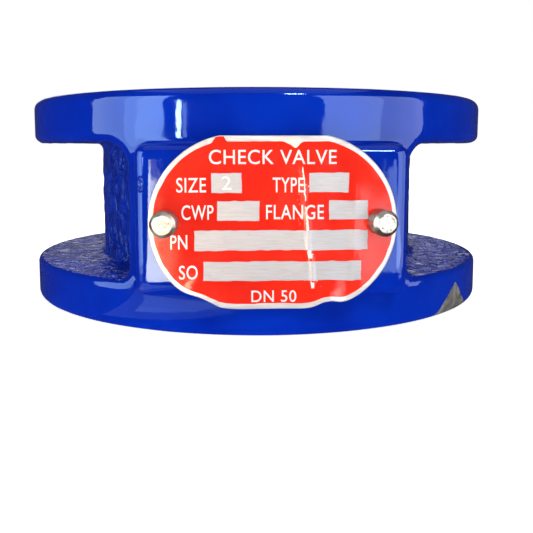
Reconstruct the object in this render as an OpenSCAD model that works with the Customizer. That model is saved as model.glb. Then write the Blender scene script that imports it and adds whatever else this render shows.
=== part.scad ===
// Wafer check valve, DN 50, with two sprung plates, for clamping between two pipe flanges.
// The inlet face lies at Z = 0, the flow runs along +Z and the nameplate faces -Y.
// The hinge pin and the stop pin run along Y, from the rear web into the front web.

/* [Body casting] */
// Outside diameter of the two rims
body_od = 102; // [100:0.5:104]
// Distance between the two gasket faces
face_to_face = 43; // [42:0.5:46]
// Thickness of the lower, inlet rim
inlet_rim_t = 8.7; // [8:0.1:9.5]
// Thickness of the upper, outlet rim
outlet_rim_t = 9.3; // [8:0.1:10]
// Outside diameter of the waist between the rims
waist_od = 72.8; // [72:0.2:76]
// Width of the front and rear webs that join the rims
web_w = 51.2; // [49:0.2:56]
// Radius where a web meets a rim
web_fillet = 4.5; // [1:0.5:6]
// Radius where the waist meets a rim
waist_fillet = 2; // [0.5:0.5:3]
// Rounding of the outlet rim's outer edge
outlet_edge_r = 2.2; // [0.5:0.1:4]
// Rounding of the inlet rim's outer edge
inlet_edge_r = 1.5; // [0.5:0.1:3]

/* [Nameplate pad] */
// Width of the flat pad on the front web
pad_w = 47; // [46:0.5:48]
// Height of the flat pad
pad_h = 26.1; // [25:0.1:27]
// Height of the pad's centre above the inlet face
pad_z = 20.35; // [19:0.05:21]
// How far the pad's face stands in front of the rims
pad_proud = 0.4; // [0.2:0.1:2]
// Rounding of the pad's corners and edges
pad_edge_r = 2.2; // [0.5:0.1:3]

/* [Bore and seat] */
// Diameter of the inlet port
port_d = 43.3; // [40:0.1:44]
// Diameter of the chamber that the plates swing in
chamber_d = 64; // [63:0.5:66]
// Height of the seat ledge above the inlet face
ledge_z = 10; // [9:0.5:11]
// Thickness of the rubber seat
seat_t = 2; // [1.5:0.1:2.5]
// Outside diameter of the rubber seat
seat_od = 59; // [57:0.5:61]
// Inside diameter of the rubber seat
seat_id = 45; // [44:0.5:48]
// Width of the bridge across the port, under the plates' straight edges
bridge_w = 8; // [6:0.5:9]

/* [Plates] */
// Diameter of the pair of plates
plate_d = 57; // [55:0.5:58]
// Thickness of each plate
plate_t = 3.2; // [2.8:0.1:3.4]
// Gap between the two plates' straight edges
plate_gap = 1.2; // [0.8:0.1:2]
// Angle that each plate opens to
open_angle = 80; // [70:1:82]
// Outside radius of the hinge lugs
lug_r = 4; // [3.6:0.1:4.2]

/* [Pins and springs] */
// Diameter of the hinge pin and the stop pin
pin_d = 4.5; // [4:0.1:4.6]
// Radial running clearance on each pin
pin_clear = 0.06; // [0.03:0.01:0.08]
// Height of the stop pin above the hinge pin
stop_rise = 12; // [12:0.5:13]
// Diameter of the spring wire
wire_d = 1.2; // [0.8:0.1:1.2]
// Whole turns in each spring's coil
spring_turns = 5; // [3:1:5]

/* [Nameplate and rivets] */
// Length of the nameplate
plate_len = 42; // [42:0.5:44]
// Height of the nameplate
nameplate_h = 29.2; // [28:0.2:30]
// Radius of the nameplate's round ends
nameplate_end_r = 14.9; // [14.6:0.1:16]
// Thickness of the nameplate
nameplate_t = 0.6; // [0.4:0.1:0.8]
// Distance between the two rivets
rivet_pitch = 35.8; // [35:0.2:37]
// Outward lean of each rivet
rivet_lean = 7; // [0:1:8]
// Diameter of each rivet's head
rivet_head_d = 4.5; // [4:0.1:5]

/* [Hidden] */
$fn = 96;

// How far a cutting solid runs past the surface it cuts
over = 1;
// Small gap that keeps two resting faces apart
rest_gap = 0.05;

body_r = body_od / 2;
waist_r = waist_od / 2;
chamber_r = chamber_d / 2;
recess_z0 = inlet_rim_t;
recess_z1 = face_to_face - outlet_rim_t;
pad_y = -body_r - pad_proud;
pad_depth = 14;

// The plates rest on the seat, and the hinge axis lies a lug's radius above them
seat_z = ledge_z + seat_t;
plate_z = seat_z + rest_gap;
plate_top = plate_z + plate_t;
lug_gap = 0.3;
hinge_z = plate_top + lug_r + lug_gap;
stop_z = hinge_z + stop_rise;
pin_r = pin_d / 2;

// Where the lugs and washers lie along the hinge pin, measured outwards from the middle
outer_lug = [20.5, 28];
inner_lug = [11, 19];
body_washer = [28.2, 31.4];
plate_washer = [19.2, 20.3];
spring_washer = [9.8, 10.8];
spacer_half = 0.8;
washer_r = 3.9;
lug_foot = 9;

// Stop bosses: they meet the stop pin as the plates reach the open angle
boss_r = 3;
boss_y = 15.5;
boss_x = stop_rise * sin(open_angle);
boss_clear = 0.12;
boss_h = stop_rise * cos(open_angle) + lug_r + lug_gap - pin_r - boss_clear;

// Pin bores and the plugs that close them
front_bore_end = 41;
rear_bore_end = 39;
pin_end_gap = 0.4;
plug_thread_r = 4;
plug_head_r = 5.2;
plug_bore_r = 5.4;
plug_floor_y = 47.5;
plug_seal_t = 1;
plug_head_t = 2.1;
plug_length = 7.8;
socket_af = 4;
socket_depth = 3;
fit_gap = 0.05;

// Springs
coil_r = pin_r + 0.55 + wire_d / 2;
wire_r = wire_d / 2;
wire_sides = 8;
steps_per_turn = 20;
coil_y0 = -9.6 + wire_r;
coil_y1 = -1.0 - wire_r;
// The coil's first leg leans in until it rests on the stop pin
stop_leg_lean = asin((coil_r - pin_r - wire_r - rest_gap) / stop_rise);
stop_leg_len = stop_rise + 3;
// The coil's other leg slopes down until it lies on the plate
plate_leg_angle = 120;
plate_leg_tail = 5;

// Gasket-face serrations
serration_r0 = 36.5;
serration_pitch = 1.2;
serration_count = 8;
serration_depth = 0.35;

rivet_shank_r = 1.5;
rivet_shank_len = 7;
rivet_head_h = 3.8;
rivet_bevel = 0.5;
rivet_z = 20.2;
nameplate_z = 20.1;

// ---------------------------------------------------------------- shared shapes

// The waste outside a quarter circle: removing it rounds a corner that points along +X and +Y
module corner_waste(r) {
    difference() {
        square(r + over);
        circle(r);
    }
}

// A rectangle from low to high with its four corners rounded
module rounded_rect(low, high, r) {
    difference() {
        translate(low) square(high - low);
        for (sx = [-1, 1], sy = [-1, 1]) {
            corner = [sx < 0 ? low[0] + r : high[0] - r, sy < 0 ? low[1] + r : high[1] - r];
            translate(corner)
                scale_sign(sx, sy)
                    corner_waste(r);
        }
    }
}

// Turns a corner shape to one of the four quadrants
module scale_sign(sx, sy) {
    mirror([sx < 0 ? 1 : 0, 0])
        mirror([0, sy < 0 ? 1 : 0])
            children();
}

// A solid that stands in the XZ plane and runs along Y from y0 to y1
module along_y(y0, y1) {
    translate([0, y1, 0])
        rotate([90, 0, 0])
            linear_extrude(y1 - y0)
                children();
}

// A round bar along Y at height z
module bar_y(y0, y1, z, r) {
    translate([0, y1, z])
        rotate([90, 0, 0])
            cylinder(h = y1 - y0, r = r);
}

// A ring on the hinge pin
module pin_ring(y0, y1) {
    difference() {
        bar_y(y0, y1, hinge_z, washer_r);
        bar_y(y0 - over, y1 + over, hinge_z, pin_r + pin_clear);
    }
}

// ---------------------------------------------------------------- body casting

module rim_profile() {
    difference() {
        square([body_r, face_to_face]);
        translate([body_r - outlet_edge_r, face_to_face - outlet_edge_r])
            corner_waste(outlet_edge_r);
        translate([body_r - inlet_edge_r, inlet_edge_r])
            mirror([0, 1])
                corner_waste(inlet_edge_r);
    }
}

// One of the two side recesses: the groove round the waist, ended by the webs
module side_recess() {
    intersection() {
        rotate_extrude()
            rounded_rect([waist_r, recess_z0], [body_r + 2 * over + waist_fillet, recess_z1], waist_fillet);
        along_y(-body_od, body_od)
            rounded_rect([web_w / 2, recess_z0], [body_od, recess_z1], web_fillet);
    }
}

// The flat pad on the front web, with its corners and its front edges rounded
module pad() {
    low = [-pad_w / 2, pad_z - pad_h / 2];
    high = [pad_w / 2, pad_z + pad_h / 2];
    back = pad_y + pad_depth;
    intersection() {
        along_y(pad_y, back)
            rounded_rect(low, high, pad_edge_r);
        translate([0, 0, low[1] - over])
            linear_extrude(pad_h + 2 * over)
                rounded_rect([low[0], pad_y], [high[0], back + pad_edge_r], pad_edge_r);
        rotate([90, 0, 90])
            translate([0, 0, -pad_w])
                linear_extrude(2 * pad_w)
                    rounded_rect([pad_y, low[1]], [back + pad_edge_r, high[1]], pad_edge_r);
    }
}

// Concentric grooves in a gasket face, cut to their depth below z = 0
module serrations() {
    grooves = [
        for (i = [0:serration_count - 1], side = [0, 1, 2])
            [serration_r0 + (i + side / 2) * serration_pitch, side == 1 ? -serration_depth : 0]
    ];
    last_r = serration_r0 + serration_count * serration_pitch;
    rotate_extrude()
        polygon(concat(grooves, [[last_r, over], [serration_r0, over]]));
}

module pin_bore(z) {
    bar_y(-front_bore_end, rear_bore_end + over, z, pin_r + pin_clear);
    bar_y(rear_bore_end, plug_floor_y + over, z, plug_thread_r);
    bar_y(plug_floor_y, body_r + over, z, plug_bore_r);
}

module rivet_place(side) {
    translate([side * rivet_pitch / 2, pad_y, rivet_z])
        rotate([0, 0, side * rivet_lean])
            rotate([90, 0, 0])
                children();
}

module port() {
    chamfer = 1.5;
    translate([0, 0, -over])
        cylinder(h = ledge_z + 2 * over, d = port_d);
    translate([0, 0, -over])
        cylinder(h = chamfer + over, r1 = port_d / 2 + chamfer + over, r2 = port_d / 2);
    translate([0, 0, ledge_z])
        cylinder(h = face_to_face, d = chamber_d);
    translate([0, 0, face_to_face - chamfer])
        cylinder(h = chamfer + over, r1 = chamber_r, r2 = chamber_r + chamfer + over);
}

module bridge() {
    bridge_z0 = 2;
    intersection() {
        translate([-bridge_w / 2, -body_r, bridge_z0])
            cube([bridge_w, body_od, ledge_z - bridge_z0]);
        cylinder(h = face_to_face, d = port_d + 2);
    }
}

module body() {
    color("mediumblue") {
        difference() {
            union() {
                rotate_extrude() rim_profile();
                pad();
            }
            side_recess();
            mirror([1, 0, 0]) side_recess();
            port();
            pin_bore(hinge_z);
            pin_bore(stop_z);
            translate([0, 0, face_to_face]) serrations();
            mirror([0, 0, 1]) serrations();
            for (side = [-1, 1])
                rivet_place(side)
                    translate([0, 0, -rivet_shank_len - over])
                        cylinder(h = rivet_shank_len + 2 * over, r = rivet_shank_r + fit_gap);
        }
        bridge();
    }
}

module seat_ring() {
    color("dimgray")
        translate([0, 0, ledge_z])
            linear_extrude(seat_t) {
                difference() {
                    circle(d = seat_od);
                    circle(d = seat_id);
                }
                intersection() {
                    circle(d = seat_id + 2);
                    square([bridge_w, seat_od], center = true);
                }
            }
}

// ---------------------------------------------------------------- plates

// The side of a hinge lug: a round eye and a foot that runs tangentially down to the plate
module lug(y0, y1) {
    eye_rise = hinge_z - plate_top;
    reach = norm([lug_foot, eye_rise]);
    tangent = 180 + atan(eye_rise / lug_foot) - acos(lug_r / reach);
    along_y(y0, y1)
        translate([0, hinge_z]) {
            circle(lug_r);
            polygon([
                [-lug_foot, -eye_rise - plate_t / 2], [-plate_gap / 2, -eye_rise - plate_t / 2],
                [-plate_gap / 2, 0], lug_r * [cos(tangent), sin(tangent)], [-lug_foot, -eye_rise]
            ]);
        }
}

module half_plate() {
    difference() {
        union() {
            translate([0, 0, plate_z])
                linear_extrude(plate_t)
                    intersection() {
                        circle(d = plate_d);
                        translate([-plate_d - plate_gap / 2, -plate_d])
                            square([plate_d, 2 * plate_d]);
                    }
            lug(-outer_lug[1], -outer_lug[0]);
            lug(inner_lug[0], inner_lug[1]);
            for (y = [-boss_y, boss_y])
                translate([-boss_x, y, plate_z])
                    cylinder(h = plate_t + boss_h, r = boss_r);
        }
        bar_y(-plate_d, plate_d, hinge_z, pin_r + pin_clear);
    }
}

module left_disc() { color("silver") half_plate(); }

module right_disc() { color("silver") rotate([0, 0, 180]) half_plate(); }

// ---------------------------------------------------------------- pins and their plugs

module hinge_pin() {
    color("lightgray") bar_y(pin_end_gap - front_bore_end, rear_bore_end - pin_end_gap, hinge_z, pin_r);
}

module stop_pin() {
    color("lightgray") bar_y(pin_end_gap - front_bore_end, rear_bore_end - pin_end_gap, stop_z, pin_r);
}

module front_body_washer() { color("gainsboro") pin_ring(-body_washer[1], -body_washer[0]); }

module rear_body_washer() { color("gainsboro") pin_ring(body_washer[0], body_washer[1]); }

module front_plate_washer() { color("gainsboro") pin_ring(-plate_washer[1], -plate_washer[0]); }

module rear_plate_washer() { color("gainsboro") pin_ring(plate_washer[0], plate_washer[1]); }

module front_spring_washer() { color("gainsboro") pin_ring(-spring_washer[1], -spring_washer[0]); }

module rear_spring_washer() { color("gainsboro") pin_ring(spring_washer[0], spring_washer[1]); }

module spring_spacer() { color("gainsboro") pin_ring(-spacer_half, spacer_half); }

// A screw plug with a flat head that clamps its seal against the counterbore's floor
module plug(z) {
    head_y = plug_floor_y + plug_seal_t;
    difference() {
        union() {
            bar_y(head_y, head_y + plug_head_t, z, plug_head_r);
            bar_y(head_y - plug_length, head_y + over, z, plug_thread_r - fit_gap);
        }
        translate([0, head_y + plug_head_t + over, z])
            rotate([90, 0, 0])
                cylinder(h = socket_depth + over, r = socket_af / 2 / cos(30), $fn = 6);
    }
}

module plug_seal(z) {
    difference() {
        bar_y(plug_floor_y, plug_floor_y + plug_seal_t, z, plug_head_r);
        bar_y(plug_floor_y - over, plug_floor_y + plug_seal_t + over, z, plug_thread_r + fit_gap);
    }
}

module hinge_pin_plug() { color("gray") plug(hinge_z); }

module stop_pin_plug() { color("gray") plug(stop_z); }

module hinge_plug_seal() { color("peru") plug_seal(hinge_z); }

module stop_plug_seal() { color("peru") plug_seal(stop_z); }

// ---------------------------------------------------------------- springs

// A point on the coil's centre line, at an angle measured from +X towards +Z
function coil_point(angle, y) = [coil_r * cos(angle), y, coil_r * sin(angle)];

// The direction in which the wire winds at an angle
function coil_heading(angle) = [-sin(angle), 0, cos(angle)];

// The wire's centre line about the hinge axis: stop leg, coil, sloping leg and flat tail
function spring_path() =
    let (
        start = 180 - stop_leg_lean,
        finish = plate_leg_angle + 360 * spring_turns,
        steps = ceil(steps_per_turn * (finish - start) / 360),
        drop = coil_r * sin(finish) - (plate_top - hinge_z) - wire_r - rest_gap,
        slope_len = drop / -coil_heading(finish)[2],
        slope_end = coil_point(finish, coil_y1) + slope_len * coil_heading(finish)
    )
    concat(
        [coil_point(start, coil_y0) - stop_leg_len * coil_heading(start)],
        [
            for (i = [0:steps])
                coil_point(start + (finish - start) * i / steps, coil_y0 + (coil_y1 - coil_y0) * i / steps)
        ],
        [slope_end, slope_end - [plate_leg_tail, 0, 0]]
    );

function unit(v) = v / norm(v);

// The tangent at point i of a path
function tangent_at(path, i) = unit(path[min(i + 1, len(path) - 1)] - path[max(i - 1, 0)]);

// The ring of points round point i of a path that never runs along Y
function wire_ring(path, i) =
    let (
        ahead = tangent_at(path, i),
        across = unit(cross(ahead, [0, 1, 0])),
        aside = cross(ahead, across)
    )
    [
        for (k = [0:wire_sides - 1])
            path[i] + wire_r * (cos(360 * k / wire_sides) * across + sin(360 * k / wire_sides) * aside)
    ];

module wire(path) {
    n = wire_sides;
    last = len(path) - 1;
    points = [for (i = [0:last]) each wire_ring(path, i)];
    sides = [
        for (i = [0:last - 1], k = [0:n - 1])
            [i * n + k, i * n + (k + 1) % n, (i + 1) * n + (k + 1) % n, (i + 1) * n + k]
    ];
    caps = [[for (k = [n - 1:-1:0]) k], [for (k = [0:n - 1]) last * n + k]];
    polyhedron(points, concat(sides, caps), convexity = 10);
}

module spring() { translate([0, 0, hinge_z]) wire(spring_path()); }

module left_spring() { color("whitesmoke") spring(); }

module right_spring() { color("whitesmoke") rotate([0, 0, 180]) spring(); }

// ---------------------------------------------------------------- nameplate

module nameplate_outline() {
    end_x = plate_len / 2 - nameplate_end_r;
    intersection() {
        union() {
            for (side = [-1, 1])
                translate([side * end_x, 0])
                    circle(nameplate_end_r);
            square([2 * end_x, 2 * nameplate_end_r], center = true);
        }
        square([plate_len + over, nameplate_h], center = true);
    }
}

module nameplate() {
    hole_r = rivet_shank_r + 0.15;
    color("red")
        difference() {
            translate([0, 0, nameplate_z])
                along_y(pad_y - nameplate_t, pad_y)
                    nameplate_outline();
            for (side = [-1, 1])
                rivet_place(side)
                    translate([0, 0, -over])
                        cylinder(h = nameplate_t + 2 * over, r = hole_r);
        }
}

// A drive rivet: a thick flat head, bevelled at its rim, on a plain shank
module rivet(side) {
    head_r = rivet_head_d / 2;
    base = nameplate_t + head_r * sin(rivet_lean) + fit_gap;
    top = base + rivet_head_h;
    rivet_place(side)
        rotate_extrude()
            polygon([
                [0, -rivet_shank_len], [rivet_shank_r, -rivet_shank_len], [rivet_shank_r, base],
                [head_r, base], [head_r, top - rivet_bevel], [head_r - rivet_bevel, top], [0, top]
            ]);
}

module left_rivet() { color("lightgray") rivet(-1); }

module right_rivet() { color("lightgray") rivet(1); }

body();
seat_ring();
left_disc();
right_disc();
hinge_pin();
stop_pin();
left_spring();
right_spring();
front_body_washer();
rear_body_washer();
front_plate_washer();
rear_plate_washer();
front_spring_washer();
rear_spring_washer();
spring_spacer();
hinge_pin_plug();
stop_pin_plug();
hinge_plug_seal();
stop_plug_seal();
nameplate();
left_rivet();
right_rivet();
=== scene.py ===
"""Looks of the wafer check valve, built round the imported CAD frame.

Lengths are in millimetres until a mesh is made. The flow axis is Z, and the nameplate faces -Y.
"""
from math import acos, asin, atan, cos, hypot, pi, radians, sin, sqrt, tan

import bpy
import numpy as np
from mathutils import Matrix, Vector


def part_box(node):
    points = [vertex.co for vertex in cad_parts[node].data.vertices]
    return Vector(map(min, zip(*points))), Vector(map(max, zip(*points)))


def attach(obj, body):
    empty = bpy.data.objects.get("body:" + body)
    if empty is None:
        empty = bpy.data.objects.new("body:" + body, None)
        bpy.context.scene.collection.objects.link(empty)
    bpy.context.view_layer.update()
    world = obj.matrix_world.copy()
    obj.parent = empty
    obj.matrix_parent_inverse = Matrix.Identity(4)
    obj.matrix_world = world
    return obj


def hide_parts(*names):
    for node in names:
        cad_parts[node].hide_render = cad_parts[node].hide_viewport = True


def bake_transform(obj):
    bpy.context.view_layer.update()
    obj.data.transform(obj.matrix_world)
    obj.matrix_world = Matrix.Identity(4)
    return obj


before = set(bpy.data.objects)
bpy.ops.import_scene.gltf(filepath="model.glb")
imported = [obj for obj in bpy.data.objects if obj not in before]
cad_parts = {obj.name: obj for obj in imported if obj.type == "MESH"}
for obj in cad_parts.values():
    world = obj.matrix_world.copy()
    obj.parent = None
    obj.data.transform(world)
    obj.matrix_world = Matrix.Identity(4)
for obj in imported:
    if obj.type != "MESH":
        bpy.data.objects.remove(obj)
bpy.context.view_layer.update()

MM = 0.001
CASING = "casing"


def node_box(node):
    """Lowest and highest corner of a CAD node, in millimetres."""
    low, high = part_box(node)
    return np.array(low) / MM, np.array(high) / MM


# ---- sizes read from the frame

BODY_LOW, BODY_HIGH = node_box("body")
BODY_R = BODY_HIGH[0]
HEIGHT = BODY_HIGH[2]
PAD_Y = BODY_LOW[1]
SEAT_LOW, SEAT_HIGH = node_box("seat_ring")
LEDGE_Z = SEAT_LOW[2]
SEAT_R = SEAT_HIGH[0]
PIN_LOW, PIN_HIGH = node_box("hinge_pin")
STOP_LOW, STOP_HIGH = node_box("stop_pin")
PIN_R = (PIN_HIGH[2] - PIN_LOW[2]) / 2
HINGE_Z = (PIN_LOW[2] + PIN_HIGH[2]) / 2
STOP_Z = (STOP_LOW[2] + STOP_HIGH[2]) / 2
PLUG_LOW, PLUG_HIGH = node_box("hinge_pin_plug")
SEAL_LOW, SEAL_HIGH = node_box("hinge_plug_seal")
SHEET_LOW, SHEET_HIGH = node_box("nameplate")
SPRING_LOW, SPRING_HIGH = node_box("left_spring")
DISC_LOW, DISC_HIGH = node_box("left_disc")
RIVET_LOW, RIVET_HIGH = node_box("right_rivet")

# ---- mesh helpers


def add_to_scene(name, data):
    obj = bpy.data.objects.new(name, data)
    bpy.context.scene.collection.objects.link(obj)
    return obj


def make_piece(name, verts, faces, material, stands_for=(), body=CASING, slot=None, sharp=38, **values):
    """A smooth-shaded piece from points in millimetres. values are numbers that its material reads."""
    mesh = bpy.data.meshes.new(name)
    mesh.from_pydata((np.asarray(verts, float) * MM).tolist(), [], [[int(i) for i in f] for f in faces])
    mesh.validate()
    mesh.update()
    mesh.shade_smooth()
    mesh.set_sharp_from_angle(angle=radians(sharp))
    mesh.materials.append(material)
    for key, numbers in values.items():
        mesh.attributes.new(key, "FLOAT", "POINT").data.foreach_set("value", np.asarray(numbers, np.float32))
    piece = add_to_scene(name, mesh)
    if body:
        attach(piece, body)
    if stands_for:
        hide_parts(*stands_for)
    # The frame's own materials have the slots' names, so Blender adds a number to these
    return piece


def unit(way):
    return way / np.linalg.norm(way, axis=-1, keepdims=True)


def smoothstep(low, high, value):
    t = np.clip((value - low) / (high - low), 0, 1)
    return t * t * (3 - 2 * t)


def lattice_value(ix, iy, iz, seed):
    """A repeatable random number from 0 to 1 at each whole-number point."""
    h = ix * 374761393 + iy * 668265263 + iz * 2147483647 + seed * 974634777
    h = (h ^ (h >> 13)) * 1274126177
    h = h ^ (h >> 16)
    return (h & 0xFFFFFF) / float(0xFFFFFF)


def value_noise(points, size, seed):
    """Smooth noise from -1 to 1 at points, with bumps about as wide as size."""
    p = np.asarray(points, float) / size
    base = np.floor(p).astype(np.int64)
    f = p - base
    f = f * f * (3 - 2 * f)
    total = np.zeros(len(p))
    for corner in range(8):
        d = np.array([corner & 1, corner >> 1 & 1, corner >> 2 & 1])
        weight = np.prod(np.where(d == 1, f, 1 - f), axis=1)
        total += weight * lattice_value(*(base + d).T, seed)
    return total * 2 - 1


# ---- solids as distance fields


def round_join(a, b, r):
    """Union of two solids with a fillet of radius r between them."""
    return np.maximum(r, np.minimum(a, b)) - np.hypot(np.maximum(r - a, 0), np.maximum(r - b, 0))


def round_cut(a, b, r):
    """Intersection of two solids with an edge rounding of radius r."""
    return np.minimum(-r, np.maximum(a, b)) + np.hypot(np.maximum(r + a, 0), np.maximum(r + b, 0))


def rounded_box(q, r):
    """Distance to a box with rounded edges, from each coordinate's distance outside it."""
    q = [v + r for v in q]
    outside = np.sqrt(sum(np.maximum(v, 0) ** 2 for v in q))
    inside = np.minimum(np.maximum.reduce(q), 0)
    return outside + inside - r


def slab(v, low, high):
    """Distance outside a range of one coordinate."""
    return np.abs(v - (low + high) / 2) - (high - low) / 2


def gradient(field, points, h=0.02):
    steps = np.eye(3) * h
    return np.stack([field(*(points + step).T) - field(*(points - step).T) for step in steps], 1) / (2 * h)


def outward(field, points):
    """The unit normal of a field's surface at points."""
    slope = gradient(field, points)
    return slope / np.maximum(np.linalg.norm(slope, axis=1), 1e-6)[:, None]


def surface_net(field, lines, place, wrap=False):
    """Points and quads of the surface where a field is 0, on a grid.

    lines are the grid's three lists of coordinates, and place turns them into x, y and z. With wrap, the
    second coordinate goes right round, and its list leaves out the last value, the first one again.
    """
    field_at = field(*place(*np.meshgrid(*lines, indexing="ij")))
    shape = [len(line) - 1 for line in lines]
    if wrap:
        shape[1] += 1
    total = np.zeros(shape + [3])
    count = np.zeros(shape)
    crossings = []
    for axis in range(3):
        here, ahead = field_at, np.roll(field_at, -1, axis)
        if not (wrap and axis == 1):
            here, ahead = np.delete(here, -1, axis), np.delete(ahead, -1, axis)
        crossed = np.argwhere((here < 0) != (ahead < 0))
        at = tuple(crossed.T)
        t = here[at] / (here[at] - ahead[at])
        first, second = [a for a in range(3) if a != axis]
        cells = []
        for da, db in ((0, 0), (1, 0), (1, 1), (0, 1)):
            local = np.zeros((len(crossed), 3))
            local[:, first] = da
            local[:, second] = db
            cell = crossed - local.astype(int)
            if wrap:
                cell[:, 1] %= shape[1]
            local[:, axis] = t
            np.add.at(total, tuple(cell.T), local)
            np.add.at(count, tuple(cell.T), 1)
            cells.append(cell)
        crossings.append((cells, here[at] < 0, axis))
    used = np.argwhere(count > 0)
    number = np.full(shape, -1)
    number[tuple(used.T)] = np.arange(len(used))
    where = used + total[tuple(used.T)] / count[tuple(used.T)][:, None]
    closed_lines = list(lines)
    if wrap:
        closed_lines[1] = np.append(lines[1], lines[1][0] + 2 * pi)
    spots = [np.interp(where[:, a], np.arange(len(closed_lines[a])), closed_lines[a]) for a in range(3)]
    points = np.stack(place(*spots), 1)
    quads = []
    for cells, starts_inside, axis in crossings:
        quad = np.stack([number[tuple(c.T)] for c in cells], 1)
        flip = starts_inside if axis == 1 else ~starts_inside
        quad[flip] = quad[flip][:, ::-1]
        quads.append(quad)
    for _ in range(5):
        slope = gradient(field, points)
        steepness = np.maximum((slope ** 2).sum(1), 0.2)
        move = np.clip(field(*points.T) / steepness, -0.4, 0.4)
        points -= slope * move[:, None]
    return points, np.concatenate(quads)


def block_net(field, low, high, step):
    """The surface net of a field on an even grid between two corners."""
    lines = [np.arange(low[a] - 1.5 * step, high[a] + 2.0 * step, step) for a in range(3)]
    return surface_net(field, lines, lambda x, y, z: (x, y, z))


# ---- the casting

RECESS_Z0 = 8.7
RECESS_Z1 = 33.7
WAIST_R = 36.4
WAIST_FILLET = 1.6
WEB_HALF = 25.6
PORT_R = 21.65
CHAMBER_R = 32.0
BORE_CHAMFER = 1.5
OUTLET_EDGE = 2.2
INLET_EDGE = 1.5
PAD_HALF_W = 23.5
PAD_Z0 = 7.3
PAD_Z1 = 33.4
PAD_DEPTH = 14.0
PAD_EDGE = 2.2
BRIDGE_HALF = 4.0
BRIDGE_Z0 = 2.0
SERRATION_R0 = 36.5
SERRATION_STEP = 0.6
SERRATION_STEPS = 16
SERRATION_DEPTH = 0.35
FACED_R = 47.2
COUNTERBORE_R = 5.4


def recess_field(x, r, z):
    """The groove round the waist, ended by the webs."""
    groove = round_cut(WAIST_R - r, np.maximum(RECESS_Z0 - z, z - RECESS_Z1), WAIST_FILLET)
    fillet = np.interp(z, [10, 24], [2.0, 4.3])
    return round_cut(groove, WEB_HALF - np.abs(x), fillet)


def outer_field(x, y, z):
    """The casting before any bore is cut in it."""
    r = np.hypot(x, y)
    edge = np.where(z > HEIGHT / 2, OUTLET_EDGE, INLET_EDGE)
    rims = rounded_box([r - BODY_R, slab(z, 0, HEIGHT)], edge)
    lip = np.interp(z, [RECESS_Z0, 13, 29, RECESS_Z1], [1.1, 2.4, 2.4, 1.7])
    outer = round_cut(rims, -recess_field(x, r, z), lip)
    pad = rounded_box([
        np.abs(x) - PAD_HALF_W,
        slab(y, PAD_Y, PAD_Y + PAD_DEPTH),
        slab(z, PAD_Z0, PAD_Z1),
    ], PAD_EDGE)
    return round_join(outer, pad, 0.7)


def casting_field(x, y, z):
    """Signed distance to the casting's surface, below 0 inside it."""
    r = np.hypot(x, y)
    port = np.minimum(r - PORT_R, (r - PORT_R - BORE_CHAMFER + z) / sqrt(2))
    chamber = np.maximum(r - CHAMBER_R, LEDGE_Z - z)
    outlet = (r - CHAMBER_R - BORE_CHAMFER + HEIGHT - z) / sqrt(2)
    bore = np.minimum(np.minimum(port, chamber), outlet)
    solid = round_cut(outer_field(x, y, z), -bore, 0.35)
    for centre_z in (HINGE_Z, STOP_Z):
        counterbore = np.maximum(np.hypot(x, z - centre_z) - COUNTERBORE_R, SEAL_LOW[1] - y)
        solid = round_cut(solid, -counterbore, 0.4)
    return solid


def casting_lines():
    """Radii, angles and heights of a cylindrical grid, in step with the serrations."""
    first = SERRATION_R0 - SERRATION_STEP / 2
    last = first + SERRATION_STEP * (SERRATION_STEPS + 1)
    radii = np.concatenate([
        np.linspace(PORT_R - 1.2, first, 13, endpoint=False),
        np.linspace(first, last, SERRATION_STEPS + 1, endpoint=False),
        np.linspace(last, BODY_R + 0.8, 11, endpoint=False),
        np.linspace(BODY_R + 0.8, BODY_R + 8, 11),
    ])
    plug_angle = 8 / BODY_R
    angles = np.concatenate([
        np.linspace(-pi + plug_angle, pi - plug_angle, 336, endpoint=False),
        np.linspace(pi - plug_angle, pi + plug_angle, 36, endpoint=False),
    ])
    heights = np.concatenate([
        np.linspace(-0.8, 12.1, 22, endpoint=False),
        np.linspace(12.1, 30.4, 25, endpoint=False),
        np.linspace(30.4, HEIGHT + 0.8, 25),
    ])
    return radii, angles, heights


def on_cylinder(r, angle, z):
    """Angles go round from the front, -Y, towards +X."""
    return r * np.sin(angle), -r * np.cos(angle), z


def serrate(points):
    """Sinks every second ring of the flat gasket faces."""
    r = np.hypot(points[:, 0], points[:, 1])
    ring = np.rint((r - SERRATION_R0) / SERRATION_STEP).astype(int)
    groove = (ring % 2 == 1) & (ring > 0) & (ring < SERRATION_STEPS)
    groove &= np.abs(r - SERRATION_R0 - ring * SERRATION_STEP) < 0.1
    points[groove & (np.abs(points[:, 2]) < 0.01), 2] += SERRATION_DEPTH
    points[groove & (np.abs(points[:, 2] - HEIGHT) < 0.01), 2] -= SERRATION_DEPTH


def rough_share(points):
    """1 in the side recesses, where the casting is rough, and 0 everywhere else."""
    x, y, z = points.T
    r = np.hypot(x, y)
    in_recess = 1 - smoothstep(0.3, 1.2, np.abs(recess_field(x, r, z)))
    return in_recess * smoothstep(0.3, 1.6, BODY_R - r)


def machined_share(points):
    """1 on the machined gasket faces and bores, 0 where the casting is painted."""
    x, y, z = points.T
    r = np.hypot(x, y)
    end_depth = np.minimum(z, HEIGHT - z)
    faced = (1 - smoothstep(FACED_R - 0.5, FACED_R + 0.5, r)) * (1 - smoothstep(0, 0.5, end_depth))
    bored = 1 - smoothstep(CHAMBER_R + 0.8, CHAMBER_R + 1.6, r)
    return np.maximum(faced, bored)


def paint_relief(points, rough, machined):
    """How far the painted skin stands off the true surface."""
    grain = 0.6 * value_noise(points, 2.1, 3) + 0.4 * value_noise(points, 1.3, 5)
    ripple = 0.6 * value_noise(points, 9.0, 7) + 0.4 * value_noise(points, 4.5, 11)
    return rough * (0.22 * grain - 0.08) + (1 - machined) * (1 - rough) * (0.03 * ripple - 0.03)


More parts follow.
